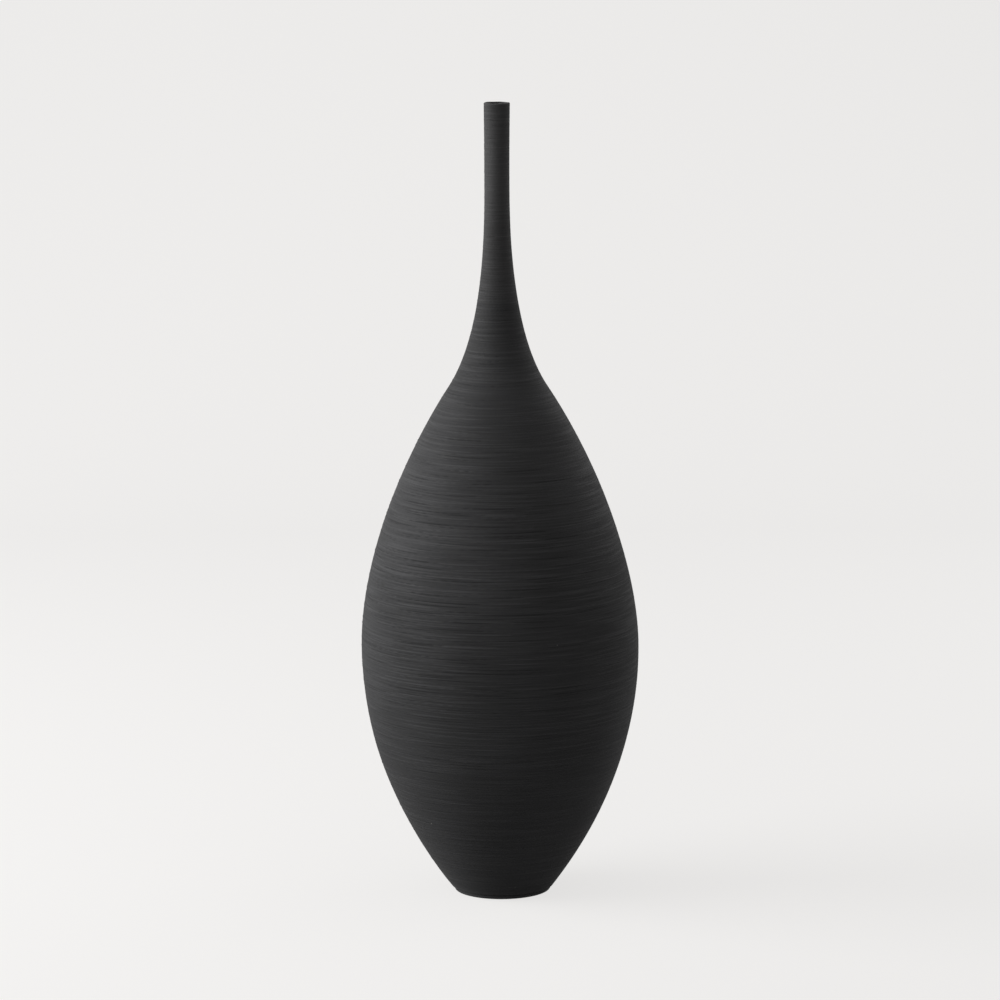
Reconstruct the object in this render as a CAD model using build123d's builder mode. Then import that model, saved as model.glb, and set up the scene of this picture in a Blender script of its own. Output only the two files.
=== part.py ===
from build123d import *
from math import cos, radians, sin, tan
import os

# A tall bottle vase of black clay: an almond body on a small foot, drawn up into a long thin neck.
# It is raised the way such a bottle is built by hand. A disc is laid for the foot, ring after ring
# of clay is luted on top with its edge pared to a slope, a soft coil is pressed into each seam from
# the inside while a hand still reaches it, and the neck is set on last. Each of those is a node.
# Millimetres, +Z up, origin at the middle of the foot's standing face.

os.makedirs("parts", exist_ok=True)

# Heights, each measured from the station below it
belly_rise = 136.0  # from the table to the widest ring
shoulder_rise = 141.0  # from the widest ring to where the side turns from bulging to hollow
neck_rise = 114.5  # from there to the narrowest ring of the neck
mouth_rise = 38.5  # from there to the lip

# Outer radii at the same stations
foot_radius = 25.5
belly_radius = 75.0
shoulder_radius = 26.7
neck_radius = 6.75
mouth_radius = 7.05

# How far the side leans at the stations where it isn't upright, in degrees from upright
foot_lean = 38.2  # outwards
shoulder_lean = 33.1  # inwards

# How long each station holds the side in its own direction: the reach of the curve's handles
foot_reach = 36.4
belly_reach_below = 61.2
belly_reach_above = 35.3
shoulder_reach_below = 60.0
shoulder_reach_above = 37.3
neck_reach = 24.9

# Thickness of the clay
floor_thickness = 8.0
foot_wall_thickness = 5.2
belly_wall_thickness = 4.8
shoulder_wall_thickness = 4.6

# The passage through the neck
bore_radius = 4.4
bore_start_below_neck = 40.0  # how far below the narrowest ring the straight bore begins
bore_reach = 23.0
bore_shoulder_reach = 20.0

# Foot and lip
recess_radius = 17.0  # the hollow in the underside, which leaves a standing ring
recess_depth = 2.0
foot_edge_round = 1.4
recess_edge_round = 0.8
lip_height = 5.0
lip_edge_round = 0.7

# Joints between the rings of clay, each placed from the station it lies near
lower_joint_height = 57.0  # above the table
belly_joint_below_belly = 18.0
upper_joint_above_belly = 44.5
shoulder_joint_below_shoulder = 26.0
collar_joint_above_shoulder = 46.5
mouth_joint_above_neck = 2.0
joint_slope = 20.0  # degrees that a pared edge falls from the outside to the inside
joint_overcut = 1.0  # how far the paring cut starts outside the clay
coil_radius = 5.0  # of the soft coil that is pressed into a seam

# Places worked out from the sizes above
belly_height = belly_rise
shoulder_height = belly_height + shoulder_rise
neck_height = shoulder_height + neck_rise
height = neck_height + mouth_rise
beyond_belly = 2 * belly_radius  # a radius that is outside the clay at every height

UP = Vector(0, 1)
OUT_AND_UP = Vector(sin(radians(foot_lean)), cos(radians(foot_lean)))
IN_AND_UP = Vector(-sin(radians(shoulder_lean)), cos(radians(shoulder_lean)))


def side_curve(foot, belly, shoulder, neck, foot_hold, shoulder_hold, neck_hold):
    """Draw three tangent spans: out from the foot to the belly, in to the shoulder, up the neck."""
    Bezier(foot, foot + OUT_AND_UP * foot_hold, belly - UP * belly_reach_below, belly)
    Bezier(
        belly,
        belly + UP * belly_reach_above,
        shoulder - IN_AND_UP * shoulder_reach_below,
        shoulder,
    )
    Bezier(shoulder, shoulder + IN_AND_UP * shoulder_hold, neck - UP * neck_hold, neck)


# The solid outline, from the axis to the outer surface
foot_point = Vector(foot_radius, 0)
neck_point = Vector(neck_radius, neck_height)
mouth_point = Vector(mouth_radius, height)
with BuildSketch(Plane.XZ) as outline:
    with BuildLine():
        side_curve(
            foot_point,
            Vector(belly_radius, belly_height),
            Vector(shoulder_radius, shoulder_height),
            neck_point,
            foot_reach,
            shoulder_reach_above,
            neck_reach,
        )
        TangentArc(neck_point, mouth_point, tangent=UP)
        Polyline(mouth_point, (0, height), (0, 0), foot_point)
    make_face()

# The hollow inside it: the same curve, drawn in by the thickness of the clay, and a straight bore
foot_slant = radians(foot_lean)
shoulder_slant = radians(shoulder_lean)
floor_radius = foot_radius + floor_thickness * tan(foot_slant) - foot_wall_thickness / cos(foot_slant)
floor_corner = Vector(floor_radius, floor_thickness)
bore_start = Vector(bore_radius, neck_height - bore_start_below_neck)
with BuildSketch(Plane.XZ) as hollow:
    with BuildLine():
        side_curve(
            floor_corner,
            Vector(belly_radius - belly_wall_thickness, belly_height),
            Vector(shoulder_radius - shoulder_wall_thickness / cos(shoulder_slant), shoulder_height),
            bore_start,
            foot_reach - floor_thickness / cos(foot_slant),
            bore_shoulder_reach,
            bore_reach,
        )
        Polyline(bore_start, (bore_radius, height), (0, height), (0, floor_thickness), floor_corner)
    make_face()


def surface_radius(section, level):
    """Return the radius at which a section's curved side crosses a height."""
    line = Edge.make_line((0, level), (beyond_belly, level))
    return (section.sketch_local & line).edges()[0].length


def seam_point(level):
    """Return where the joint at a level comes out on the inside of the wall."""
    thickness = surface_radius(outline, level) - surface_radius(hollow, level)
    inner_level = level - thickness * tan(radians(joint_slope))
    return surface_radius(hollow, inner_level), inner_level


def flat_edge(level):
    """Return a level cut from the axis to beyond the belly, as points."""
    return [(0, level), (beyond_belly, level)]


def pared_edge(level):
    """Return a joint's slope from the axis to just outside the clay, then level, as points."""
    outer_radius = surface_radius(outline, level)
    fall = tan(radians(joint_slope))
    outside = level + joint_overcut * fall
    return [
        (0, level - outer_radius * fall),
        (outer_radius + joint_overcut, outside),
        (beyond_belly, outside),
    ]


def band_between(below, above):
    """Draw the closed band between two cuts."""
    Polyline(*below, *reversed(above), close=True)


# Joints, from the table up
lower_joint_level = lower_joint_height
belly_joint_level = belly_height - belly_joint_below_belly
upper_joint_level = belly_height + upper_joint_above_belly
shoulder_joint_level = shoulder_height - shoulder_joint_below_shoulder
collar_joint_level = shoulder_height + collar_joint_above_shoulder
mouth_joint_level = neck_height + mouth_joint_above_neck
lip_joint_level = height - lip_height

# The foot: a disc with a shallow hollow underneath, which the first ring of wall stands on
with BuildPart() as foot_disc:
    with BuildSketch(Plane.XZ):
        add(outline.sketch_local)
        with BuildLine():
            band_between(flat_edge(0), flat_edge(floor_thickness))
        make_face(mode=Mode.INTERSECT)
    revolve(axis=Axis.Z)
    with BuildSketch(Plane.XY):
        Circle(recess_radius)
    extrude(amount=recess_depth, mode=Mode.SUBTRACT)
    standing_edges = foot_disc.edges().filter_by(GeomType.CIRCLE).group_by(Axis.Z)[0]
    recess_edge, foot_edge = standing_edges.sort_by(SortBy.RADIUS)
    fillet(foot_edge, foot_edge_round)
    fillet(recess_edge, recess_edge_round)
foot_disc.part.label = "foot_disc"
export_step(foot_disc.part, "parts/foot_disc.step")

# The rings of wall, each between two joints
wall_rings = [
    ("foot_wall", flat_edge(floor_thickness), pared_edge(lower_joint_level)),
    ("lower_belly_wall", pared_edge(lower_joint_level), pared_edge(belly_joint_level)),
    ("upper_belly_wall", pared_edge(belly_joint_level), pared_edge(upper_joint_level)),
    ("shoulder_wall", pared_edge(upper_joint_level), pared_edge(shoulder_joint_level)),
    ("shoulder_cone", pared_edge(shoulder_joint_level), pared_edge(collar_joint_level)),
    ("neck_tube", pared_edge(collar_joint_level), pared_edge(mouth_joint_level)),
    ("mouth_tube", pared_edge(mouth_joint_level), flat_edge(lip_joint_level)),
]
for name, below, above in wall_rings:
    with BuildPart() as wall_ring:
        with BuildSketch(Plane.XZ):
            add(outline.sketch_local)
            add(hollow.sketch_local, mode=Mode.SUBTRACT)
            with BuildLine():
                band_between(below, above)
            make_face(mode=Mode.INTERSECT)
        revolve(axis=Axis.Z)
    wall_ring.part.label = name
    export_step(wall_ring.part, f"parts/{name}.step")

# The lip: a thin ring that finishes the mouth, softened at both edges of its top
with BuildPart() as lip_ring:
    with BuildSketch(Plane.XZ):
        add(outline.sketch_local)
        add(hollow.sketch_local, mode=Mode.SUBTRACT)
        with BuildLine():
            band_between(flat_edge(lip_joint_level), flat_edge(height))
        make_face(mode=Mode.INTERSECT)
    revolve(axis=Axis.Z)
    fillet(lip_ring.faces().sort_by(Axis.Z)[-1].edges(), lip_edge_round)
lip_ring.part.label = "lip_ring"
export_step(lip_ring.part, "parts/lip_ring.step")

# The coils pressed into the seams inside, each lying exactly against the clay it was pressed on
seam_coils = [
    ("foot_seam_coil", floor_corner),
    ("lower_seam_coil", seam_point(lower_joint_level)),
    ("belly_seam_coil", seam_point(belly_joint_level)),
    ("upper_seam_coil", seam_point(upper_joint_level)),
    ("shoulder_seam_coil", seam_point(shoulder_joint_level)),
]
for name, seam in seam_coils:
    with BuildPart() as seam_coil:
        with BuildSketch(Plane.XZ):
            add(hollow.sketch_local)
            with Locations(seam):
                Circle(coil_radius, mode=Mode.INTERSECT)
        revolve(axis=Axis.Z)
    seam_coil.part.label = name
    export_step(seam_coil.part, f"parts/{name}.step")
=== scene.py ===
"""The looks of a tall black clay bottle vase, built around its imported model.

The bottle is raised from rings of clay that are luted together, so each ring is a mesh of its own,
turned about the bottle's axis. Its outside is cut by a comb held against it while it turns: fine
grooves that wander, fade out and start again. Metres, +Z up, origin under the middle of the foot.
"""

import logging
from dataclasses import dataclass, field, replace
from enum import Enum
from math import cos, pi, radians, sin, tan
from typing import Sequence

import bpy
import numpy as np
from mathutils import Matrix, Vector


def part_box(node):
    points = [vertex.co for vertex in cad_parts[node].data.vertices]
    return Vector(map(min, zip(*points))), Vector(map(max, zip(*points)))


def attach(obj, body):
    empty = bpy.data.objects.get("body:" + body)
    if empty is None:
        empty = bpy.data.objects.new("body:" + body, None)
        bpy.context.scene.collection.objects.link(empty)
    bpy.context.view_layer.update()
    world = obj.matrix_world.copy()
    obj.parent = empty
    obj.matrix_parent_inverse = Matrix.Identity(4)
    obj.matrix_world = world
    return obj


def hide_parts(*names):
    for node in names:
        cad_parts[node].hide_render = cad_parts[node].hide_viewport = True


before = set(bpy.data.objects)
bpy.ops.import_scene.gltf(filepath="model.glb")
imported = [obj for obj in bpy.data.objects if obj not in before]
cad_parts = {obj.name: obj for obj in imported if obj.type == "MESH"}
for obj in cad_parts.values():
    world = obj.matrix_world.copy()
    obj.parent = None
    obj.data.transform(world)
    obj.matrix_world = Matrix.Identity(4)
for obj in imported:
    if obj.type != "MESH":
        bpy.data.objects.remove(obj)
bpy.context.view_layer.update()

MM = 0.001
LOG = logging.getLogger("bottle")

Socket = bpy.types.NodeSocket
Span = tuple[float, float]
Colour = tuple[float, float, float]
Point = tuple[float, float, float]
UNSCALED = (1.0, 1.0, 1.0)


class Slot(Enum):
    """The record's material slots."""

    COMBED = "combed_clay"
    NECK = "neck_clay"
    LIP = "lip_clay"
    FOOT = "foot_clay"
    INNER = "inner_clay"


# --------------------------------------------------------------------------- node helpers


class NodeTree:
    """A thin wrapper that adds and links shader nodes."""

    mixed_inputs: tuple[int, int] = (6, 7)  # where a Mix node takes its two colours
    mixed_output: int = 2  # and where it gives the blend

    def __init__(self, tree: bpy.types.NodeTree) -> None:
        """Take over a tree and empty it."""
        self.tree = tree
        tree.nodes.clear()

    def add(self, kind: str, **settings: object) -> bpy.types.Node:
        """Add a node.

        Args:
            kind: the node's type, without the ShaderNode in front.
            settings: values set on the node itself.

        Returns:
            The new node.
        """
        node = self.tree.nodes.new("ShaderNode" + kind)
        for name, value in settings.items():
            setattr(node, name, value)
        return node

    def link(self, source: Socket, target: Socket) -> None:
        """Link two sockets."""
        self.tree.links.new(source, target)

    def stretched(self, scale: Sequence[float]) -> Socket:
        """Return the object's own coordinates, scaled apart along each axis."""
        place = self.add("TexCoord")
        mapping = self.add("Mapping")
        mapping.inputs["Scale"].default_value = scale
        self.link(place.outputs["Object"], mapping.inputs["Vector"])
        return mapping.outputs["Vector"]

    def noise(self, scale: Sequence[float], detail: float, rough: float = 0.5) -> Socket:
        """Return fractal noise, from 0 to 1.

        Args:
            scale: lumps per metre along X, Y and Z.
            detail: how many finer layers are added.
            rough: how strong each finer layer is.

        Returns:
            The noise's value.
        """
        texture = self.add("TexNoise")
        texture.inputs["Scale"].default_value = 1.0
        texture.inputs["Detail"].default_value = detail
        texture.inputs["Roughness"].default_value = rough
        self.link(self.stretched(scale), texture.inputs["Vector"])
        return texture.outputs["Fac"]

    def spots(self, size: float, share: float, soft: float) -> Socket:
        """Return small scattered spots, 1 inside and 0 outside.

        Args:
            size: the spacing of the cells that the spots lie in, in metres.
            share: the spot's radius, as a share of its cell.
            soft: the width of a spot's edge, as a share of its cell.

        Returns:
            The spots' mask.
        """
        cells = self.add("TexVoronoi")
        cells.inputs["Scale"].default_value = 1 / size
        self.link(self.stretched(UNSCALED), cells.inputs["Vector"])
        return self.ramp(cells.outputs["Distance"], share, share + soft, 1, 0)

    def ramp(self, value: Socket, low: float, high: float, start: float, end: float) -> Socket:
        """Stretch a value softly from one range to another, and hold it at the ends.

        Args:
            value: the value to stretch.
            low: where the first range begins.
            high: where the first range ends.
            start: the result at the beginning.
            end: the result at the end.

        Returns:
            The stretched value.
        """
        node = self.add("MapRange", interpolation_type="SMOOTHSTEP")
        for name, number in zip(("From Min", "From Max", "To Min", "To Max"), (low, high, start, end)):
            node.inputs[name].default_value = number
        self.link(value, node.inputs["Value"])
        return node.outputs["Result"]

    def math(self, kind: str, *values: Socket | float) -> Socket:
        """Work out a sum, product or other operation.

        Args:
            kind: the operation.
            values: what it works on, each a socket or a number.

        Returns:
            The result.
        """
        node = self.add("Math", operation=kind)
        for socket, value in zip(node.inputs, values):
            if isinstance(value, (int, float)):
                socket.default_value = value
            else:
                self.link(value, socket)
        return node.outputs["Value"]

    def looked_at(self, mirrored: float) -> Socket:
        """Return how far a ray shows a surface to the eye, rather than gathers light for the clay.

        Args:
            mirrored: how far a reflection counts as looking, from 0 to 1.

        Returns:
            1 for rays from the eye and through glass, mirrored in a reflection, and 0 elsewhere.
        """
        path = self.add("LightPath")
        camera, through = path.outputs["Is Camera Ray"], path.outputs["Is Transmission Ray"]
        straight = self.math("MAXIMUM", camera, through)
        reflected = self.math("MULTIPLY", path.outputs["Is Glossy Ray"], mirrored)
        return self.math("MAXIMUM", straight, reflected)

    def blend(self, share: Socket, first: Socket | Colour, second: Socket | Colour) -> Socket:
        """Blend two colours.

        Args:
            share: how much of the second colour shows, from 0 to 1.
            first: the colour at 0.
            second: the colour at 1.

        Returns:
            The blended colour.
        """
        node = self.add("Mix", data_type="RGBA")
        self.link(share, node.inputs["Factor"])
        for index, colour in zip(self.mixed_inputs, (first, second)):
            if isinstance(colour, Socket):
                self.link(colour, node.inputs[index])
            else:
                node.inputs[index].default_value = (*colour, 1)
        return node.outputs[self.mixed_output]


# --------------------------------------------------------------------------- finishes


@dataclass(frozen=True)
class BlackClay:
    """Matte black fired clay: dusty on its ridges, painted shade in its grooves, a fine dry grain.

    A scale is in lumps per metre along X, Y and Z. A band is the range of a texture over which an
    effect comes in. Lengths are in metres. Over the heights of its painted light the clay is painted
    lighter, towards the colour of its specks, by its share of painted light: this is painted light, not
    a paler clay.
    """

    slot: Slot
    body: Colour = (0.0440, 0.0442, 0.0462)
    # The groove colour is painted shade: the shade that falls in the comb's grooves, painted darker.
    groove: Colour = (0.0230, 0.0230, 0.0240)
    ridge: Colour = (0.065, 0.065, 0.068)
    smoke: Colour = (0.0360, 0.0360, 0.0370)
    speck: Colour = (0.20, 0.19, 0.18)
    groove_share: float = 0.95
    ridge_share: float = 0.6
    smoke_band: Span = (0.35, 0.68)
    painted_light_share: float = 0.0
    painted_light_heights: Span = (300 * MM, 370 * MM)
    speck_spacing: float = 20 * MM
    speck_radius: float = 0.018
    speck_edge: float = 0.008
    streak_scale: Sequence[float] = (26, 26, 1500)
    streak_band: Span = (0.48, 0.72)
    streak_share: float = 0.75
    streak_depth: float = 0.09 * MM
    grain_scale: Sequence[float] = (2600, 2600, 2600)
    grain_band: Span = (0.3, 0.6)
    grain_least: float = 0.4
    grain_depth: float = 0.04 * MM
    broad_scale: Sequence[float] = (14, 14, 9)
    roughness: Span = (0.72, 0.90)
    gloss_band: Span = (0.35, 0.65)
    gloss_from_streaks: float = 0.6
    gloss_from_broad: float = 0.4
    specular: float = 0.30
    dust: float = 0.06
    dust_roughness: float = 0.45

    def material(self) -> bpy.types.Material:
        """Return the clay's material, made the first time and shared after that."""
        name = f"black_{self.slot.value}"
        made = bpy.data.materials.get(name)
        if made:
            return made
        made = bpy.data.materials.new(name)
        made.use_nodes = True
        nodes = NodeTree(made.node_tree)
        shader = nodes.add("BsdfPrincipled")
        shader.inputs["Specular IOR Level"].default_value = self.specular
        shader.inputs["Sheen Weight"].default_value = self.dust
        shader.inputs["Sheen Roughness"].default_value = self.dust_roughness
        output = nodes.add("OutputMaterial")
        nodes.link(shader.outputs["BSDF"], output.inputs["Surface"])
        streaks = nodes.noise(self.streak_scale, detail=3, rough=0.6)
        broad = nodes.noise(self.broad_scale, detail=2)
        grain = nodes.noise(self.grain_scale, detail=2, rough=0.7)
        nodes.link(self.colour(nodes, streaks, broad, grain), shader.inputs["Base Color"])
        nodes.link(self.gloss(nodes, streaks, broad), shader.inputs["Roughness"])
        nodes.link(self.relief(nodes, streaks, grain), shader.inputs["Normal"])
        return made

    def colour(self, nodes: NodeTree, streaks: Socket, broad: Socket, grain: Socket) -> Socket:
        """Colour the clay: smoke marks, dry ridges, painted shade in the grooves and pale grit.

        Args:
            nodes: the material's nodes.
            streaks: the fine streaks that run round the bottle.
            broad: the broad clouds that smoke leaves.
            grain: the dry grain.

        Returns:
            The colour.
        """
        comb = nodes.add("Attribute", attribute_name="comb").outputs["Fac"]
        clay = nodes.blend(nodes.ramp(broad, *self.smoke_band, 0, 1), self.smoke, self.body)
        streaky = nodes.ramp(streaks, *self.streak_band, 0, self.streak_share)
        grainy = nodes.ramp(grain, *self.grain_band, self.grain_least, 1)
        clay = nodes.blend(nodes.math("MULTIPLY", streaky, grainy), clay, self.ridge)
        clay = nodes.blend(nodes.ramp(comb, 0, 1, 0, self.ridge_share), clay, self.ridge)
        # Painted shade: where the comb's mark dips, the clay is painted darker, as the shade in its grooves.
        clay = nodes.blend(nodes.ramp(comb, 0, -1, 0, self.groove_share), clay, self.groove)
        # Painted light: from the given heights up, the clay is painted lighter, for the stronger light on
        # the neck.
        if self.painted_light_share:
            place = nodes.add("SeparateXYZ")
            nodes.link(nodes.stretched(UNSCALED), place.inputs["Vector"])
            share = nodes.ramp(place.outputs["Z"], *self.painted_light_heights, 0, self.painted_light_share)
            clay = nodes.blend(share, clay, self.speck)
        specks = nodes.spots(self.speck_spacing, self.speck_radius, self.speck_edge)
        return nodes.blend(specks, clay, self.speck)

    def gloss(self, nodes: NodeTree, streaks: Socket, broad: Socket) -> Socket:
        """Return the clay's roughness, which is lower where its streaks and clouds are strong."""
        fine = nodes.math("MULTIPLY", streaks, self.gloss_from_streaks)
        coarse = nodes.math("MULTIPLY", broad, self.gloss_from_broad)
        smooth, rough = self.roughness
        return nodes.ramp(nodes.math("ADD", fine, coarse), *self.gloss_band, rough, smooth)

    def relief(self, nodes: NodeTree, streaks: Socket, grain: Socket) -> Socket:
        """Return the bent normal of the finest scratches and of the dry grain."""
        scratch = nodes.add("Bump")
        scratch.inputs["Distance"].default_value = self.streak_depth
        nodes.link(streaks, scratch.inputs["Height"])
        dry = nodes.add("Bump")
        dry.inputs["Distance"].default_value = self.grain_depth
        nodes.link(grain, dry.inputs["Height"])
        nodes.link(scratch.outputs["Normal"], dry.inputs["Normal"])
        return dry.outputs["Normal"]


@dataclass(frozen=True)
class PaleStage:
    """The plain floor or backdrop: pale to look at, dim for the light it sends back, open from behind.

    Its card is its grey in that light, mirrored says how pale the clay's gloss shows it, and seen is
    how much of what the eye gets is glow rather than paint.
    """

    name: str
    card: Colour
    mirrored: float
    pale: Colour = (0.95, 0.94, 0.93)
    seen: float = 0.76

    def material(self) -> bpy.types.Material:
        """Return the stage's material: part glow and part paint, so that it keeps a soft shadow.

        Seen from its back it is clear, so that the bottle shows from every side.
        """
        made = bpy.data.materials.new(self.name)
        made.use_nodes = True
        nodes = NodeTree(made.node_tree)
        direct = nodes.looked_at(self.mirrored)
        paint = nodes.add("BsdfDiffuse")
        nodes.link(nodes.blend(direct, self.card, self.pale), paint.inputs["Color"])
        glow = nodes.add("Emission")
        glow.inputs["Color"].default_value = (*self.pale, 1)
        mixed = nodes.add("MixShader")
        nodes.link(nodes.math("MULTIPLY", direct, self.seen), mixed.inputs["Fac"])
        nodes.link(paint.outputs["BSDF"], mixed.inputs[1])
        nodes.link(glow.outputs["Emission"], mixed.inputs[2])
        back = nodes.add("NewGeometry").outputs["Backfacing"]
        open_back = nodes.add("MixShader")
        by_eye = nodes.add("LightPath").outputs["Is Camera Ray"]
        nodes.link(nodes.math("MULTIPLY", back, by_eye), open_back.inputs["Fac"])
        nodes.link(mixed.outputs["Shader"], open_back.inputs[1])
        nodes.link(nodes.add("BsdfTransparent").outputs["BSDF"], open_back.inputs[2])
        nodes.link(open_back.outputs["Shader"], nodes.add("OutputMaterial").inputs["Surface"])
        return made


# --------------------------------------------------------------------------- the bottle's shape


@dataclass
class BottleCurve:
    """The outer and inner sides of the bottle, each a chain of tangent curves. Metres."""

    foot_radius: float = 25.5 * MM
    belly_radius: float = 75.0 * MM
    belly_height: float = 136.0 * MM
    shoulder_radius: float = 26.7 * MM
    shoulder_height: float = 277.0 * MM
    neck_radius: float = 6.75 * MM
    neck_height: float = 391.5 * MM
    mouth_radius: float = 7.05 * MM
    height: float = 430.0 * MM
    foot_lean: float = radians(38.2)
    shoulder_lean: float = radians(33.1)
    foot_reach: float = 36.4 * MM
    belly_reach_below: float = 61.2 * MM
    belly_reach_above: float = 35.3 * MM
    shoulder_reach_below: float = 60.0 * MM
    shoulder_reach_above: float = 37.3 * MM
    neck_reach: float = 24.9 * MM
    floor: float = 8.0 * MM
    foot_wall: float = 5.2 * MM
    belly_wall: float = 4.8 * MM
    shoulder_wall: float = 4.6 * MM
    bore_radius: float = 4.4 * MM
    bore_start: float = 351.5 * MM
    bore_reach: float = 23.0 * MM
    bore_shoulder_reach: float = 20.0 * MM
    samples: int = 400

    def __post_init__(self) -> None:
        """Draw both sides once, as radius against height."""
        outer = self.side(
            (self.foot_radius, 0),
            self.belly_radius,
            self.shoulder_radius,
            (self.neck_radius, self.neck_height),
            (self.foot_reach, self.shoulder_reach_above, self.neck_reach),
        )
        rise = np.linspace(0, 1, self.samples)
        flare = self.neck_radius + (self.mouth_radius - self.neck_radius) * rise**2
        mouth = np.column_stack([flare, self.neck_height + (self.height - self.neck_height) * rise])
        self.outer_line = np.vstack([outer, mouth[1:]])
        floor_radius = (
            self.foot_radius + self.floor * tan(self.foot_lean) - self.foot_wall / cos(self.foot_lean)
        )
        inner = self.side(
            (floor_radius, self.floor),
            self.belly_radius - self.belly_wall,
            self.shoulder_radius - self.shoulder_wall / cos(self.shoulder_lean),
            (self.bore_radius, self.bore_start),
            (
                self.foot_reach - self.floor / cos(self.foot_lean),
                self.bore_shoulder_reach,
                self.bore_reach,
            ),
        )
        self.inner_line = np.vstack([inner, [[self.bore_radius, self.height]]])

    def side(
        self,
        foot: tuple[float, float],
        belly: float,
        shoulder: float,
        neck: tuple[float, float],
        reaches: tuple[float, float, float],
    ) -> np.ndarray:
        """Draw three tangent spans, from the foot to the neck.

        Args:
            foot: radius and height where the side starts.
            belly: radius at the widest height.
            shoulder: radius where the side turns hollow.
            neck: radius and height where the side ends, upright.
            reaches: the handles at the foot, above the shoulder and under the neck.

        Returns:
            Points of radius and height, from the foot up.
        """
        up = np.array([0.0, 1.0])
        out = np.array([sin(self.foot_lean), cos(self.foot_lean)])
        inward = np.array([-sin(self.shoulder_lean), cos(self.shoulder_lean)])
        start, end = np.array(foot), np.array(neck)
        widest = np.array([belly, self.belly_height])
        turn = np.array([shoulder, self.shoulder_height])
        foot_reach, shoulder_reach, neck_reach = reaches
        spans = (
            (start, start + out * foot_reach, widest - up * self.belly_reach_below, widest),
            (widest, widest + up * self.belly_reach_above, turn - inward * self.shoulder_reach_below, turn),
            (turn, turn + inward * shoulder_reach, end - up * neck_reach, end),
        )
        return np.vstack([self.bezier(*span)[:-1] for span in spans] + [end])

    def bezier(self, a: np.ndarray, b: np.ndarray, c: np.ndarray, d: np.ndarray) -> np.ndarray:
        """Return points along one cubic span."""
        t = np.linspace(0, 1, self.samples)[:, None]
        return (1 - t) ** 3 * a + 3 * t * (1 - t) ** 2 * b + 3 * t**2 * (1 - t) * c + t**3 * d

    def outer(self, level: np.ndarray | float) -> np.ndarray:
        """Return the outer radius at a height."""
        return np.interp(level, self.outer_line[:, 1], self.outer_line[:, 0])

    def inner(self, level: np.ndarray | float) -> np.ndarray:
        """Return the inner radius at a height."""
        return np.interp(level, self.inner_line[:, 1], self.inner_line[:, 0])

    def outward(self, level: np.ndarray) -> tuple[np.ndarray, np.ndarray]:
        """Return the outer side's outward direction at a height, as its radial and upright parts."""
        step = 0.2 * MM
        slope = (self.outer(level + step) - self.outer(level - step)) / (2 * step)
        length = np.sqrt(1 + slope**2)
        return 1 / length, -slope / length


@dataclass
class AxisDrift:
    """How far the hand-raised bottle stands off a true axis. Metres."""

    amount: float = 0.35 * MM
    levels: tuple[float, ...] = (0.0, 0.03, 0.13, 0.19, 0.27, 0.36, 0.43)
    sideways: tuple[float, ...] = (0.9, 0.6, -0.2, -0.8, 0.0, 0.0, 1.1)
    towards: tuple[float, ...] = (0.0, 0.3, 0.6, 0.4, -0.3, -0.5, 0.2)

    def at(self, level: np.ndarray) -> tuple[np.ndarray, np.ndarray]:
        """Return the drift along X and Y at a height."""
        return (
            self.amount * np.interp(level, self.levels, self.sideways),
            self.amount * np.interp(level, self.levels, self.towards),
        )


# --------------------------------------------------------------------------- comb lines


class RoundNoise:
    """Smooth seeded values that run once round the bottle and meet themselves."""

    size_spread: Span = (0.6, 1.4)

    def __init__(self, draw: np.random.Generator, fewest: int, most: int) -> None:
        """Draw the waves.

        Args:
            draw: the seeded source.
            fewest: the fewest waves round the bottle.
            most: the most waves round the bottle.
        """
        self.counts = np.arange(fewest, most + 1)
        self.phases = draw.uniform(0, 2 * pi, self.counts.size)
        self.sizes = draw.uniform(*self.size_spread, self.counts.size) / np.sqrt(self.counts.size)

    def at(self, angle: np.ndarray) -> np.ndarray:
        """Return the value at each angle, mostly between -1 and 1."""
        waves = np.cos(np.multiply.outer(angle, self.counts) + self.phases)
        return waves @ self.sizes


class SideNoise:
    """Smooth seeded values over the whole side, drawn as rounds that lie a set height apart."""

    spare_rounds: int = 3

    def __init__(self, draw: np.random.Generator, spacing: float, top: float, most: int) -> None:
        """Draw the rounds.

        Args:
            draw: the seeded source.
            spacing: the height from one round to the next, in metres.
            top: the height that the rounds reach, in metres.
            most: the most waves round the bottle.
        """
        self.spacing = spacing
        count = int(top / spacing) + self.spare_rounds
        self.rounds = [RoundNoise(draw, fewest=1, most=most) for _ in range(count)]

    def at(self, level: float, angle: np.ndarray) -> np.ndarray:
        """Return the value at each angle along one height."""
        below = int(level / self.spacing)
        share = level / self.spacing - below
        share = share * share * (3 - 2 * share)  # eased, so that no round shows as a crease
        return (1 - share) * self.rounds[below].at(angle) + share * self.rounds[below + 1].at(angle)


@dataclass(frozen=True)
class CombLine:
    """The line that one tooth of the comb drew, and how hard it pressed on its way round."""

    level: float
    width: float
    depth: float
    lean: float
    press: RoundNoise
    skips: RoundNoise
    wander: RoundNoise
    strongest: float = 1.5

    def strength(self, angles: np.ndarray, chatter: np.ndarray) -> np.ndarray:
        """Work out how deep the line is cut.

        Args:
            angles: angles round the axis.
            chatter: how much the tooth skips at each.

        Returns:
            The strength, positive in a groove and negative where clay is heaped up.
        """
        strength = self.lean + self.press.at(angles) + chatter * self.skips.at(angles)
        return np.clip(strength, -self.strongest, self.strongest)


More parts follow.
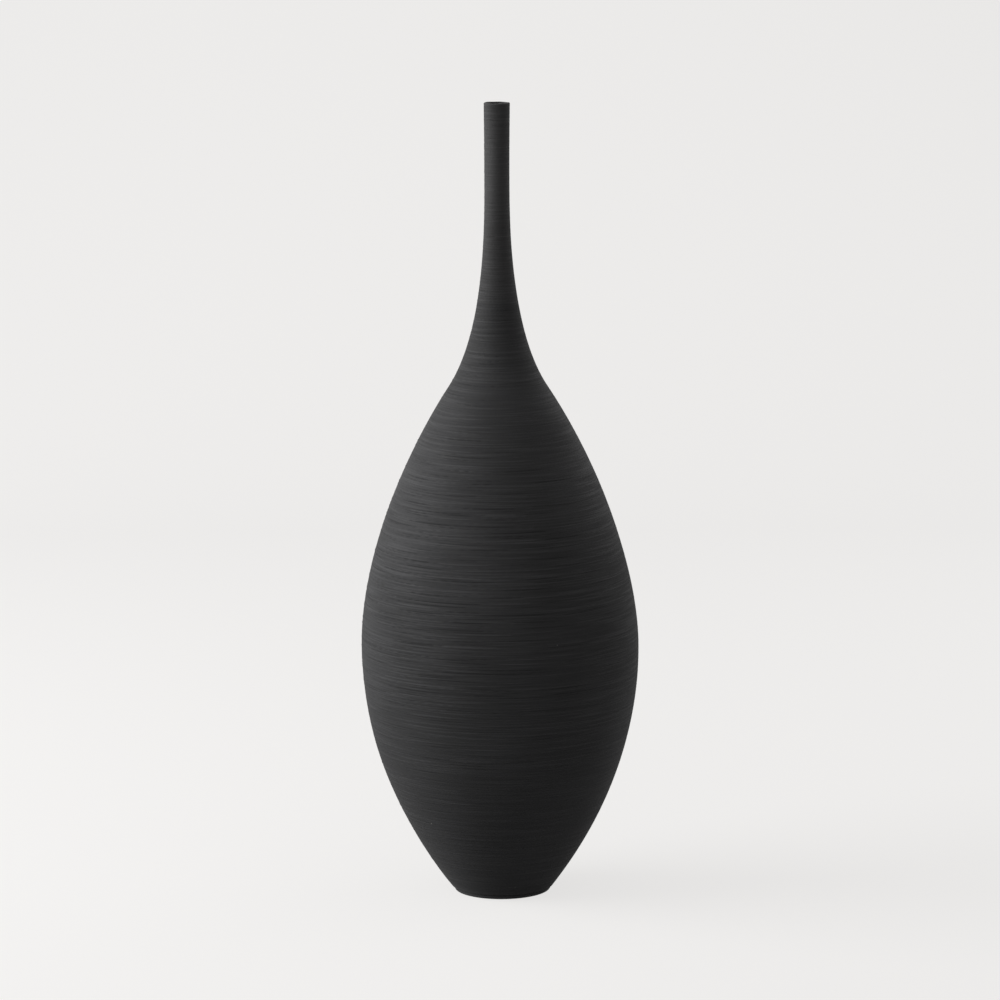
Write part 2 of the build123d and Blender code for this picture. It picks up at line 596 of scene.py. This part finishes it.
@dataclass
class Combing:
    """The comb's lines over the whole bottle, and the shallow unevenness of the hand. Metres."""

    curve: BottleCurve
    seed: int = 7
    pitch: float = 1.2 * MM
    pitch_spread: Span = (0.5, 1.5)
    line_width: float = 0.25 * MM
    width_spread: Span = (0.85, 1.2)
    line_depth: float = 0.155 * MM
    depth_spread: Span = (0.6, 1.4)
    deep_share: float = 0.08
    deep_depth: float = 0.18 * MM
    deep_lean: float = 0.5
    deepest: float = 0.21 * MM
    proudest: float = 0.13 * MM
    comb_side: float = radians(220)
    chatter: float = 0.4
    chatter_far: float = 0.1
    chatter_fall: float = 3
    grip_far: float = 0.2
    grip_fall: float = 1.5
    patchiness: float = 0.3
    stroke: float = 42 * MM
    fewest_strokes: int = 4
    skips_in_stroke: tuple[int, int] = (5, 9)
    sway_size: float = 0.25 * MM
    wander_size: float = 0.09 * MM
    swell_size: float = 0.10 * MM
    reach_in_widths: float = 3
    reach_in_sways: float = 2
    press_marks: tuple[int, ...] = (0, 30, 90, 127, 150, 200, 245, 265, 290, 320, 430)  # millimetres
    presses: tuple[float, ...] = (0.12, 0.5, 0.7, 1.0, 1.2, 1.2, 0.75, 0.5, 0.45, 0.52, 0.52)
    lines: list[CombLine] = field(default_factory=list)

    def __post_init__(self) -> None:
        """Draw every line, from the foot to the mouth."""
        draw = np.random.default_rng(self.seed)
        top = self.curve.height
        self.sway = SideNoise(draw, spacing=26 * MM, top=top, most=5)
        self.patch = SideNoise(draw, spacing=8 * MM, top=top, most=7)
        self.swell = SideNoise(draw, spacing=40 * MM, top=top, most=4)
        level = 0.0
        while level < top:
            self.lines.append(self.line(draw, level))
            level += self.pitch * draw.uniform(*self.pitch_spread)

    def line(self, draw: np.random.Generator, level: float) -> CombLine:
        """Draw one line: most are faint and come and go, and a few are cut deep and run far.

        Args:
            draw: the seeded source.
            level: the line's height.

        Returns:
            The line.
        """
        deep = draw.uniform() < self.deep_share
        girth = 2 * pi * float(self.curve.outer(level))
        strokes = max(self.fewest_strokes, round(girth / self.stroke))
        fewest, most = self.skips_in_stroke
        return CombLine(
            level=level,
            width=self.line_width * draw.uniform(*self.width_spread),
            depth=(self.deep_depth if deep else self.line_depth) * draw.uniform(*self.depth_spread),
            lean=self.deep_lean if deep else 0.0,
            press=RoundNoise(draw, fewest=1, most=strokes),
            skips=RoundNoise(draw, fewest=fewest * strokes, most=most * strokes),
            wander=RoundNoise(draw, fewest=2, most=9),
        )

    def pressure(self, level: float) -> float:
        """Return how hard the comb pressed at a height: most on the belly, least near the foot."""
        return float(np.interp(level, np.array(self.press_marks) * MM, self.presses))

    def nearness(self, angles: np.ndarray) -> np.ndarray:
        """Return how near each angle is to the side where the comb was set down, from 0 to 1."""
        return (1 + np.cos(angles - self.comb_side)) / 2

    def cut(self, levels: np.ndarray, angles: np.ndarray) -> tuple[np.ndarray, np.ndarray]:
        """Cut the comb's lines into a patch of the outside.

        Args:
            levels: the patch's heights.
            angles: its angles round the axis.

        Returns:
            How far the surface stands out at each height and angle, and the comb's mark there,
            from -1 in a groove to 1 on heaped clay.
        """
        out = np.zeros((levels.size, angles.size))
        reach = self.reach_in_widths * self.line_width + self.reach_in_sways * self.sway_size
        near = self.nearness(angles)
        chatter = self.chatter * (self.chatter_far + (1 - self.chatter_far) * near**self.chatter_fall)
        grip = self.grip_far + (1 - self.grip_far) * near**self.grip_fall
        for line in self.lines:
            rows = np.flatnonzero(np.abs(levels - line.level) < reach)
            if rows.size == 0:
                continue
            middle = line.level + self.sway_size * self.sway.at(line.level, angles)
            middle = middle + self.wander_size * line.wander.at(angles)
            patch = 1 + self.patchiness * self.patch.at(line.level, angles)
            strength = line.strength(angles, chatter) * grip * patch * self.pressure(line.level)
            off = (levels[rows][:, None] - middle) / line.width
            out[rows] -= line.depth * strength * np.exp(-(off**2))
        mark = np.clip(out / self.line_depth, -1, 1)
        out = np.clip(out, -self.deepest, self.proudest)
        for row, level in enumerate(levels):
            out[row] += self.swell_size * self.swell.at(level, angles)
        return out, mark


# --------------------------------------------------------------------------- turned meshes


class TurnedMesh:
    """A mesh made of rings of points round the axis, each with its own radii and heights."""

    sharp_angle: float = radians(55)

    def __init__(self, columns: int, drift: AxisDrift) -> None:
        """Start an empty mesh.

        Args:
            columns: how many points each ring has.
            drift: how the axis wanders.
        """
        self.angles = np.arange(columns) * (2 * pi / columns)
        self.drift = drift
        self.points: list[np.ndarray] = []
        self.marks: list[np.ndarray] = []
        self.faces: list[tuple[int, ...]] = []

    def ring(
        self, radius: np.ndarray | float, level: np.ndarray | float, mark: np.ndarray | float = 0.0
    ) -> None:
        """Add one ring of points.

        Args:
            radius: the ring's radius, for all of it or for each angle.
            level: its height, for all of it or for each angle.
            mark: the comb's mark on it, from -1 in a groove to 1 on a ridge.
        """
        flat = np.ones_like(self.angles)
        self.rings(radius * flat[None], level * flat[None], mark * flat[None])

    def rings(self, radii: np.ndarray, levels: np.ndarray, marks: np.ndarray) -> None:
        """Add many rings at once, one to a row."""
        shift_x, shift_y = self.drift.at(levels)
        x = radii * np.cos(self.angles) + shift_x
        y = radii * np.sin(self.angles) + shift_y
        self.points.append(np.stack([x, y, levels], axis=-1).reshape(-1, 3))
        self.marks.append(marks.ravel())

    def count(self) -> int:
        """Return how many points there are."""
        return sum(len(part) for part in self.points)

    def join(self, closed: bool) -> None:
        """Join each ring to the next with quads.

        Args:
            closed: whether the last ring joins the first, as on a hoop. If not, both ends are
                closed by a fan to a point on the axis.
        """
        columns = self.angles.size
        rows = self.count() // columns
        here = np.arange(columns)
        after = (here + 1) % columns
        for row in range(rows if closed else rows - 1):
            low, high = row * columns, (row + 1) % rows * columns
            quads = np.stack([low + here, low + after, high + after, high + here], axis=1)
            self.faces.extend(map(tuple, quads.tolist()))
        if not closed:
            self.fan(0, here, after)
            self.fan((rows - 1) * columns, after, here)

    def fan(self, start: int, first: np.ndarray, second: np.ndarray) -> None:
        """Close a ring with triangles to its middle.

        Args:
            start: the index of the ring's first point.
            first: one corner of each triangle, counted along the ring.
            second: the other corner.
        """
        ring = np.vstack(self.points)[start : start + self.angles.size]
        pole = self.count()
        self.points.append(ring.mean(axis=0)[None])
        self.marks.append(np.zeros(1))
        self.faces.extend((pole, int(start + b), int(start + a)) for a, b in zip(first, second))

    def piece(self, name: str, finish: BlackClay, node: str) -> bpy.types.Object:
        """Make the object, dress it, and let it stand for a node.

        Args:
            name: the object's name.
            finish: the clay it is made of.
            node: the node that it replaces.

        Returns:
            The new object.
        """
        mesh = bpy.data.meshes.new(name)
        mesh.from_pydata(np.vstack(self.points).tolist(), [], self.faces)
        mesh.validate()
        mesh.polygons.foreach_set("use_smooth", [True] * len(mesh.polygons))
        mesh.set_sharp_from_angle(angle=self.sharp_angle)
        comb = mesh.attributes.new("comb", "FLOAT", "POINT")
        comb.data.foreach_set("value", np.concatenate(self.marks).astype(np.float32))
        mesh.materials.append(finish.material())
        made = bpy.data.objects.new(name, mesh)
        bpy.context.scene.collection.objects.link(made)
        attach(made, "root")
        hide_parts(node)
        LOG.info("%s: %d points, %d faces", name, len(mesh.vertices), len(mesh.polygons))
        return made


# --------------------------------------------------------------------------- the pieces of clay


@dataclass
class Clay:
    """What every piece of the bottle is cut from: its curve, its drift and its combing."""

    curve: BottleCurve
    drift: AxisDrift
    combing: Combing
    seam_fall: float = tan(radians(20))

    def inside_of(self, level: float, pared: bool) -> float:
        """Return the height at which a seam comes out on the inside of the wall."""
        if not pared:
            return level
        return level - float(self.curve.outer(level) - self.curve.inner(level)) * self.seam_fall


@dataclass
class WallRing:
    """One ring of wall, between the seam under it and the seam over it."""

    node: str
    low: float
    high: float
    columns: int
    finish: BlackClay
    low_pared: bool
    high_pared: bool
    step: float = 0.27 * MM
    inner_step: float = 5 * MM

    def outside(self, clay: Clay, mesh: TurnedMesh) -> None:
        """Add the combed outside, from the lower seam to the upper one."""
        rise = self.high - self.low
        spread = float(clay.curve.outer(self.low) - clay.curve.outer(self.high))
        rows = int(np.hypot(rise, spread) / self.step) + 2
        levels = np.linspace(self.low, self.high, rows)
        out, mark = clay.combing.cut(levels, mesh.angles)
        radial, upright = clay.curve.outward(levels)
        radii = clay.curve.outer(levels)[:, None] + out * radial[:, None]
        heights = levels[:, None] + out * upright[:, None]
        mesh.rings(radii, heights, mark)

    def inside(self, clay: Clay, mesh: TurnedMesh) -> None:
        """Add the smooth inside, from the upper seam down to the lower one."""
        top = clay.inside_of(self.high, self.high_pared)
        bottom = clay.inside_of(self.low, self.low_pared)
        rows = int((top - bottom) / self.inner_step) + 2
        for level in np.linspace(top, bottom, rows):
            mesh.ring(float(clay.curve.inner(level)), level)

    def build(self, clay: Clay) -> bpy.types.Object:
        """Build the ring and return it."""
        mesh = TurnedMesh(self.columns, clay.drift)
        self.outside(clay, mesh)
        self.inside(clay, mesh)
        mesh.join(closed=True)
        return mesh.piece(f"{self.node}_clay", self.finish, self.node)


@dataclass
class FootDisc:
    """The disc that the bottle stands on, hollowed a little underneath. Metres.

    Its marks stand in for the comb's where the clay isn't combed: painted shade in the hollow's corner, pale
    where rubbed.
    """

    node: str
    top: float
    finish: BlackClay
    columns: int
    recess_radius: float = 17.0 * MM
    recess_depth: float = 2.0 * MM
    recess_round: float = 0.8 * MM
    recess_corner: float = 0.3 * MM
    edge_round: float = 1.4 * MM
    edge_steps: int = 6
    standing_rows: int = 10
    side_rows: int = 16
    side_fade: float = 0.2
    pole_gap: float = 1.0 * MM
    corner_gap: float = 0.4 * MM
    turning_step: float = 0.6 * MM
    turning_width: float = 0.55 * MM
    turning_depth: float = 0.07 * MM
    spiral_width: float = 1.1 * MM
    spiral_depth: float = 0.15 * MM
    turning_mark: float = 0.4
    corner_painted_shade: float = -0.6
    edge_mark: float = 0.5
    standing_mark: float = 0.8

    def underside(self, clay: Clay, mesh: TurnedMesh) -> None:
        """Add the hollow's ceiling with its turning marks, and the standing ring round it."""
        for radius in np.arange(self.pole_gap, self.recess_radius - self.corner_gap, self.turning_step):
            # The turning marks' hollows are painted darker, as painted shade, and their ridges paler, as
            # wear.
            turning = np.sin(radius / self.turning_width + mesh.angles)
            mesh.ring(radius, self.recess_depth + self.turning_depth * turning, turning * self.turning_mark)
        # Painted shade: the hollow's corner is painted darker.
        mesh.ring(self.recess_radius - self.recess_corner, self.recess_depth, self.corner_painted_shade)
        mesh.ring(self.recess_radius, self.recess_depth - self.recess_corner, self.corner_painted_shade)
        for turn in np.linspace(0, pi / 2, self.edge_steps):
            mesh.ring(
                self.recess_radius + self.recess_round * (1 - cos(turn)),
                self.recess_round * (1 - sin(turn)),
                self.edge_mark,
            )
        start = self.recess_radius + self.recess_round
        end = clay.curve.foot_radius - self.edge_round
        for radius in np.linspace(start, end, self.standing_rows)[1:-1]:
            mesh.ring(radius, 0.0, self.standing_mark)

    def outside(self, clay: Clay, mesh: TurnedMesh) -> None:
        """Add the rounded lower edge and the side up to the first seam."""
        lean = clay.curve.foot_lean
        centre = clay.curve.foot_radius - self.edge_round * (1 / cos(lean) - tan(lean))
        for turn in np.linspace(0, pi / 2 + lean, self.edge_steps * 2):
            radius = centre + self.edge_round * sin(turn)
            mesh.ring(radius, self.edge_round * (1 - cos(turn)), self.edge_mark)
        begin = self.edge_round * (1 + sin(lean))
        levels = np.linspace(begin, self.top, self.side_rows)[1:]
        out, mark = clay.combing.cut(levels, mesh.angles)
        radial, upright = clay.curve.outward(levels)
        fade = np.linspace(self.side_fade, 1, levels.size)[:, None]
        radii = clay.curve.outer(levels)[:, None] + out * radial[:, None] * fade
        mesh.rings(radii, levels[:, None] + out * upright[:, None] * fade, mark)

    def floor(self, clay: Clay, mesh: TurnedMesh) -> None:
        """Add the floor inside, with the spiral that a finger leaves in it."""
        edge = float(clay.curve.inner(self.top))
        mesh.ring(edge, self.top)
        for radius in np.arange(edge - self.pole_gap, self.pole_gap, -self.spiral_width):
            spiral = np.sin(radius / self.spiral_width + mesh.angles)
            mesh.ring(radius, self.top - self.spiral_depth * (1 + spiral))

    def build(self, clay: Clay) -> bpy.types.Object:
        """Build the disc and return it."""
        mesh = TurnedMesh(self.columns, clay.drift)
        self.underside(clay, mesh)
        self.outside(clay, mesh)
        self.floor(clay, mesh)
        mesh.join(closed=False)
        return mesh.piece(f"{self.node}_clay", self.finish, self.node)


@dataclass
class LipRing:
    """The rim of the mouth, softened by a wet finger. Metres."""

    node: str
    low: float
    finish: BlackClay
    columns: int
    edge_round: float = 0.7 * MM
    edge_steps: int = 6
    side_rows: int = 14
    bore_rows: int = 5
    uneven: float = 0.08 * MM
    ripple: float = 0.6
    outer_mark: float = 0.6
    inner_mark: float = 0.3

    def edge(self, mesh: TurnedMesh, top: float, radius: float, turns: np.ndarray, side: int) -> None:
        """Add one rounded edge of the rim, a little uneven on top.

        Args:
            mesh: the mesh to add it to.
            top: the height of the mouth.
            radius: the radius of the middle of the edge's round.
            turns: how far round the edge each ring lies, from 0 at the side to a right angle on top.
            side: 1 for the outer edge and -1 for the inner one.
        """
        broad = np.cos(2 * mesh.angles + 1.0)
        uneven = self.uneven * (broad + self.ripple * np.cos(5 * mesh.angles) - (1 + self.ripple))
        mark = self.outer_mark if side > 0 else self.inner_mark
        for turn in turns:
            level = top - self.edge_round * (1 - sin(turn)) + uneven * sin(turn)
            mesh.ring(radius + side * self.edge_round * cos(turn), level, mark)

    def build(self, clay: Clay) -> bpy.types.Object:
        """Build the lip and return it."""
        mesh = TurnedMesh(self.columns, clay.drift)
        curve = clay.curve
        levels = np.linspace(self.low, curve.height - self.edge_round, self.side_rows)
        out, mark = clay.combing.cut(levels, mesh.angles)
        mesh.rings(curve.outer(levels)[:, None] + out, levels[:, None] + 0 * out, mark)
        turns = np.linspace(0, pi / 2, self.edge_steps)
        self.edge(mesh, curve.height, curve.mouth_radius - self.edge_round, turns[1:], side=1)
        turns = np.linspace(pi / 2, 0, self.edge_steps)
        self.edge(mesh, curve.height, curve.bore_radius + self.edge_round, turns, side=-1)
        for level in np.linspace(curve.height - self.edge_round, self.low, self.bore_rows)[1:]:
            mesh.ring(curve.bore_radius, level)
        mesh.join(closed=True)
        return mesh.piece(f"{self.node}_clay", self.finish, self.node)


@dataclass
class SeamCoil:
    """A soft coil pressed into a seam from inside, dented by each finger press. Metres."""

    node: str
    seam: float
    finish: BlackClay
    radius: float = 5.0 * MM
    columns: int = 192
    press_spacing: float = 17 * MM
    press_depth: float = 0.7 * MM
    press_shape: float = 0.7
    round_rows: int = 12
    wall_rows: int = 6
    samples: int = 1441
    # Painted shade: the coil is painted darker, as the shade that falls in the seam between rings.
    mark: float = -0.4

    def build(self, clay: Clay) -> bpy.types.Object:
        """Build the coil and return it."""
        mesh = TurnedMesh(self.columns, clay.drift)
        curve = clay.curve
        middle = float(curve.inner(self.seam))
        presses = round(2 * pi * middle / self.press_spacing)
        dent = self.press_depth * np.abs(np.sin(mesh.angles * presses / 2)) ** self.press_shape
        start, end = self.wall_angles(curve, middle)
        for turn in np.linspace(start, end, self.round_rows):
            share = sin(pi * (turn - start) / (end - start))
            reach = self.radius - dent * share
            mesh.ring(middle + reach * cos(turn), self.seam + reach * sin(turn), self.mark)
        levels = self.seam + self.radius * np.linspace(sin(end), sin(start), self.wall_rows)
        for level in levels[1:-1]:
            mesh.ring(float(curve.inner(max(level, curve.floor))), max(level, curve.floor))
        mesh.join(closed=True)
        return mesh.piece(f"{self.node}_clay", self.finish, self.node)

    def wall_angles(self, curve: BottleCurve, middle: float) -> tuple[float, float]:
        """Find the turns at which the coil's round meets the wall above it and below it.

        Args:
            curve: the bottle's curve.
            middle: the radius of the coil's middle.

        Returns:
            The first turn that is clear of the wall, and the last.
        """
        turns = np.linspace(0, 2 * pi, self.samples)
        heights = self.seam + self.radius * np.sin(turns)
        clear = middle + self.radius * np.cos(turns) <= curve.inner(heights)
        clear &= heights >= curve.floor
        free = turns[clear]
        return float(free.min()), float(free.max())


# --------------------------------------------------------------------------- the studio


@dataclass
class Lamp:
    """One soft rectangular lamp, aimed at a point. Metres and watts."""

    name: str
    place: Point
    aim: Point
    size: Span
    power: float

    def build(self) -> None:
        """Add the lamp to the scene."""
        light = bpy.data.lights.new(self.name, "AREA")
        light.shape = "RECTANGLE"
        light.size, light.size_y = self.size
        light.energy = self.power
        made = bpy.data.objects.new(self.name, light)
        made.location = self.place
        towards = Vector(self.aim) - Vector(self.place)
        made.rotation_euler = towards.to_track_quat("-Z", "Y").to_euler()
        made.visible_camera = False
        bpy.context.scene.collection.objects.link(made)


@dataclass
class Studio:
    """The pale sweep that the bottle stands on, the lamps, the world and the camera. Metres.

    The fill is the strength of the air's light on the clay, and seen_fill is its strength to the eye.
    """

    half_width: float = 4.5
    front: float = -4.5
    wall: float = 1.6
    sweep: float = 0.5
    wall_height: float = 3.0
    sweep_rows: int = 17
    under_foot: float = 0.1 * MM
    view_side: float = 0.5 * MM
    view_distance: float = 2.66
    view_height: float = 0.679
    view_pitch: float = radians(9.89)
    view_roll: float = radians(-0.44)
    lens: float = 180.2
    farthest: float = 50.0
    air: Colour = (0.93, 0.92, 0.91)
    fill: float = 0.37
    seen_fill: float = 0.885
    floor_card: Colour = (0.14, 0.14, 0.14)
    wall_card: Colour = (0.36, 0.36, 0.36)
    floor_mirrored: float = 0.25
    wall_mirrored: float = 1.0
    lamps: tuple[Lamp, ...] = (
        Lamp("key_lamp", (-1.3, -0.1, 0.6), (0, 0, 0.22), (1.2, 1.0), 18.0),
        Lamp("left_edge_lamp", (-1.0, 0.8, 0.6), (0, 0, 0.22), (1.0, 1.0), 1.6),
        Lamp("right_edge_lamp", (1.0, 0.75, 0.45), (0, 0, 0.22), (0.8, 0.9), 2.1),
    )

    def build_sweep(self) -> None:
        """Add the floor and the backdrop as one curved sheet."""
        turns = np.linspace(0, pi / 2, self.sweep_rows)
        profile = [(self.front, -self.under_foot)]
        profile += [
            (self.wall - self.sweep + self.sweep * sin(turn), self.sweep * (1 - cos(turn)) - self.under_foot)
            for turn in turns
        ]
        profile.append((self.wall, self.wall_height))
        points = [(side * self.half_width, y, z) for y, z in profile for side in (-1, 1)]
        faces = [(2 * i, 2 * i + 1, 2 * i + 3, 2 * i + 2) for i in range(len(profile) - 1)]
        mesh = bpy.data.meshes.new("sweep")
        mesh.from_pydata(points, [], faces)
        mesh.polygons.foreach_set("use_smooth", [True] * len(faces))
        mesh.materials.append(PaleStage("pale_floor", self.floor_card, self.floor_mirrored).material())
        mesh.materials.append(PaleStage("pale_wall", self.wall_card, self.wall_mirrored).material())
        half_up = len(turns) // 2 + 1
        mesh.polygons.foreach_set("material_index", [int(i >= half_up) for i in range(len(faces))])
        sweep = bpy.data.objects.new("sweep", mesh)
        bpy.context.scene.collection.objects.link(sweep)

    def build_world(self) -> None:
        """Set a dim even fill, which looks as pale as the wall where the sweep doesn't reach."""
        world = bpy.data.worlds.new("studio")
        world.use_nodes = True
        nodes = NodeTree(world.node_tree)
        shade = nodes.add("Background")
        shade.inputs["Color"].default_value = (*self.air, 1)
        looked_at = nodes.looked_at(self.floor_mirrored)
        nodes.link(nodes.ramp(looked_at, 0, 1, self.fill, self.seen_fill), shade.inputs["Strength"])
        nodes.link(shade.outputs["Background"], nodes.add("OutputWorld").inputs["Surface"])
        bpy.context.scene.world = world

    def build_camera(self) -> None:
        """Add the camera, a long lens a little above the bottle."""
        lens = bpy.data.cameras.new("view")
        lens.lens = self.lens
        lens.clip_end = self.farthest
        view = bpy.data.objects.new("view", lens)
        turn = Matrix.Rotation(pi / 2 - self.view_pitch, 4, "X") @ Matrix.Rotation(self.view_roll, 4, "Z")
        place = (self.view_side, -self.view_distance, self.view_height)
        view.matrix_world = Matrix.Translation(place) @ turn
        bpy.context.scene.collection.objects.link(view)
        bpy.context.scene.camera = view

    def build(self) -> None:
        """Build everything that isn't part of the bottle."""
        bpy.context.scene.view_settings.view_transform = "Standard"
        self.build_camera()
        self.build_sweep()
        self.build_world()
        for lamp in self.lamps:
            lamp.build()
        LOG.info("studio: %d lamps", len(self.lamps))


# --------------------------------------------------------------------------- assembly


@dataclass
class Bottle:
    """The whole bottle, from the table up."""

    body_columns: int = 288
    neck_columns: int = 128
    combed: BlackClay = BlackClay(Slot.COMBED)
    # The neck's clay is the body's clay painted lighter, and lighter still towards the mouth: painted light,
    # for the stronger light that falls on the neck.
    neck: BlackClay = BlackClay(
        Slot.NECK, body=(0.0510, 0.0512, 0.0532), ridge=(0.075, 0.075, 0.078), painted_light_share=0.07
    )
    foot: BlackClay = BlackClay(Slot.FOOT)
    inner: BlackClay = BlackClay(Slot.INNER)

    def seam_over(self, node: str) -> float:
        """Return the height of the seam on top of a node, on the outside."""
        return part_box(node)[1][2]

    def build(self) -> None:
        """Build every piece of clay."""
        curve = BottleCurve()
        clay = Clay(curve, AxisDrift(), Combing(curve))
        FootDisc("foot_disc", self.seam_over("foot_disc"), self.foot, self.body_columns).build(clay)
        body = ("foot_wall", "lower_belly_wall", "upper_belly_wall", "shoulder_wall", "shoulder_cone")
        rings = [(node, self.body_columns, self.combed) for node in body]
        rings += [(node, self.neck_columns, self.neck) for node in ("neck_tube", "mouth_tube")]
        below = "foot_disc"
        for node, columns, finish in rings:
            WallRing(
                node,
                self.seam_over(below),
                self.seam_over(node),
                columns,
                finish,
                low_pared=below != "foot_disc",
                high_pared=node != "mouth_tube",
            ).build(clay)
            below = node
        # The lip shares the neck's painted light.
        lip = replace(self.neck, slot=Slot.LIP)
        LipRing("lip_ring", self.seam_over("mouth_tube"), lip, self.neck_columns).build(clay)
        SeamCoil("foot_seam_coil", curve.floor, self.inner).build(clay)
        for name, wall in (
            ("lower_seam_coil", "foot_wall"),
            ("belly_seam_coil", "lower_belly_wall"),
            ("upper_seam_coil", "upper_belly_wall"),
            ("shoulder_seam_coil", "shoulder_wall"),
        ):
            SeamCoil(name, clay.inside_of(self.seam_over(wall), pared=True), self.inner).build(clay)


def main() -> None:
    """Build the studio and the bottle."""
    logging.basicConfig(level=logging.INFO, format="%(name)s: %(message)s")
    Studio().build()
    Bottle().build()


if __name__ == "__main__":
    main()
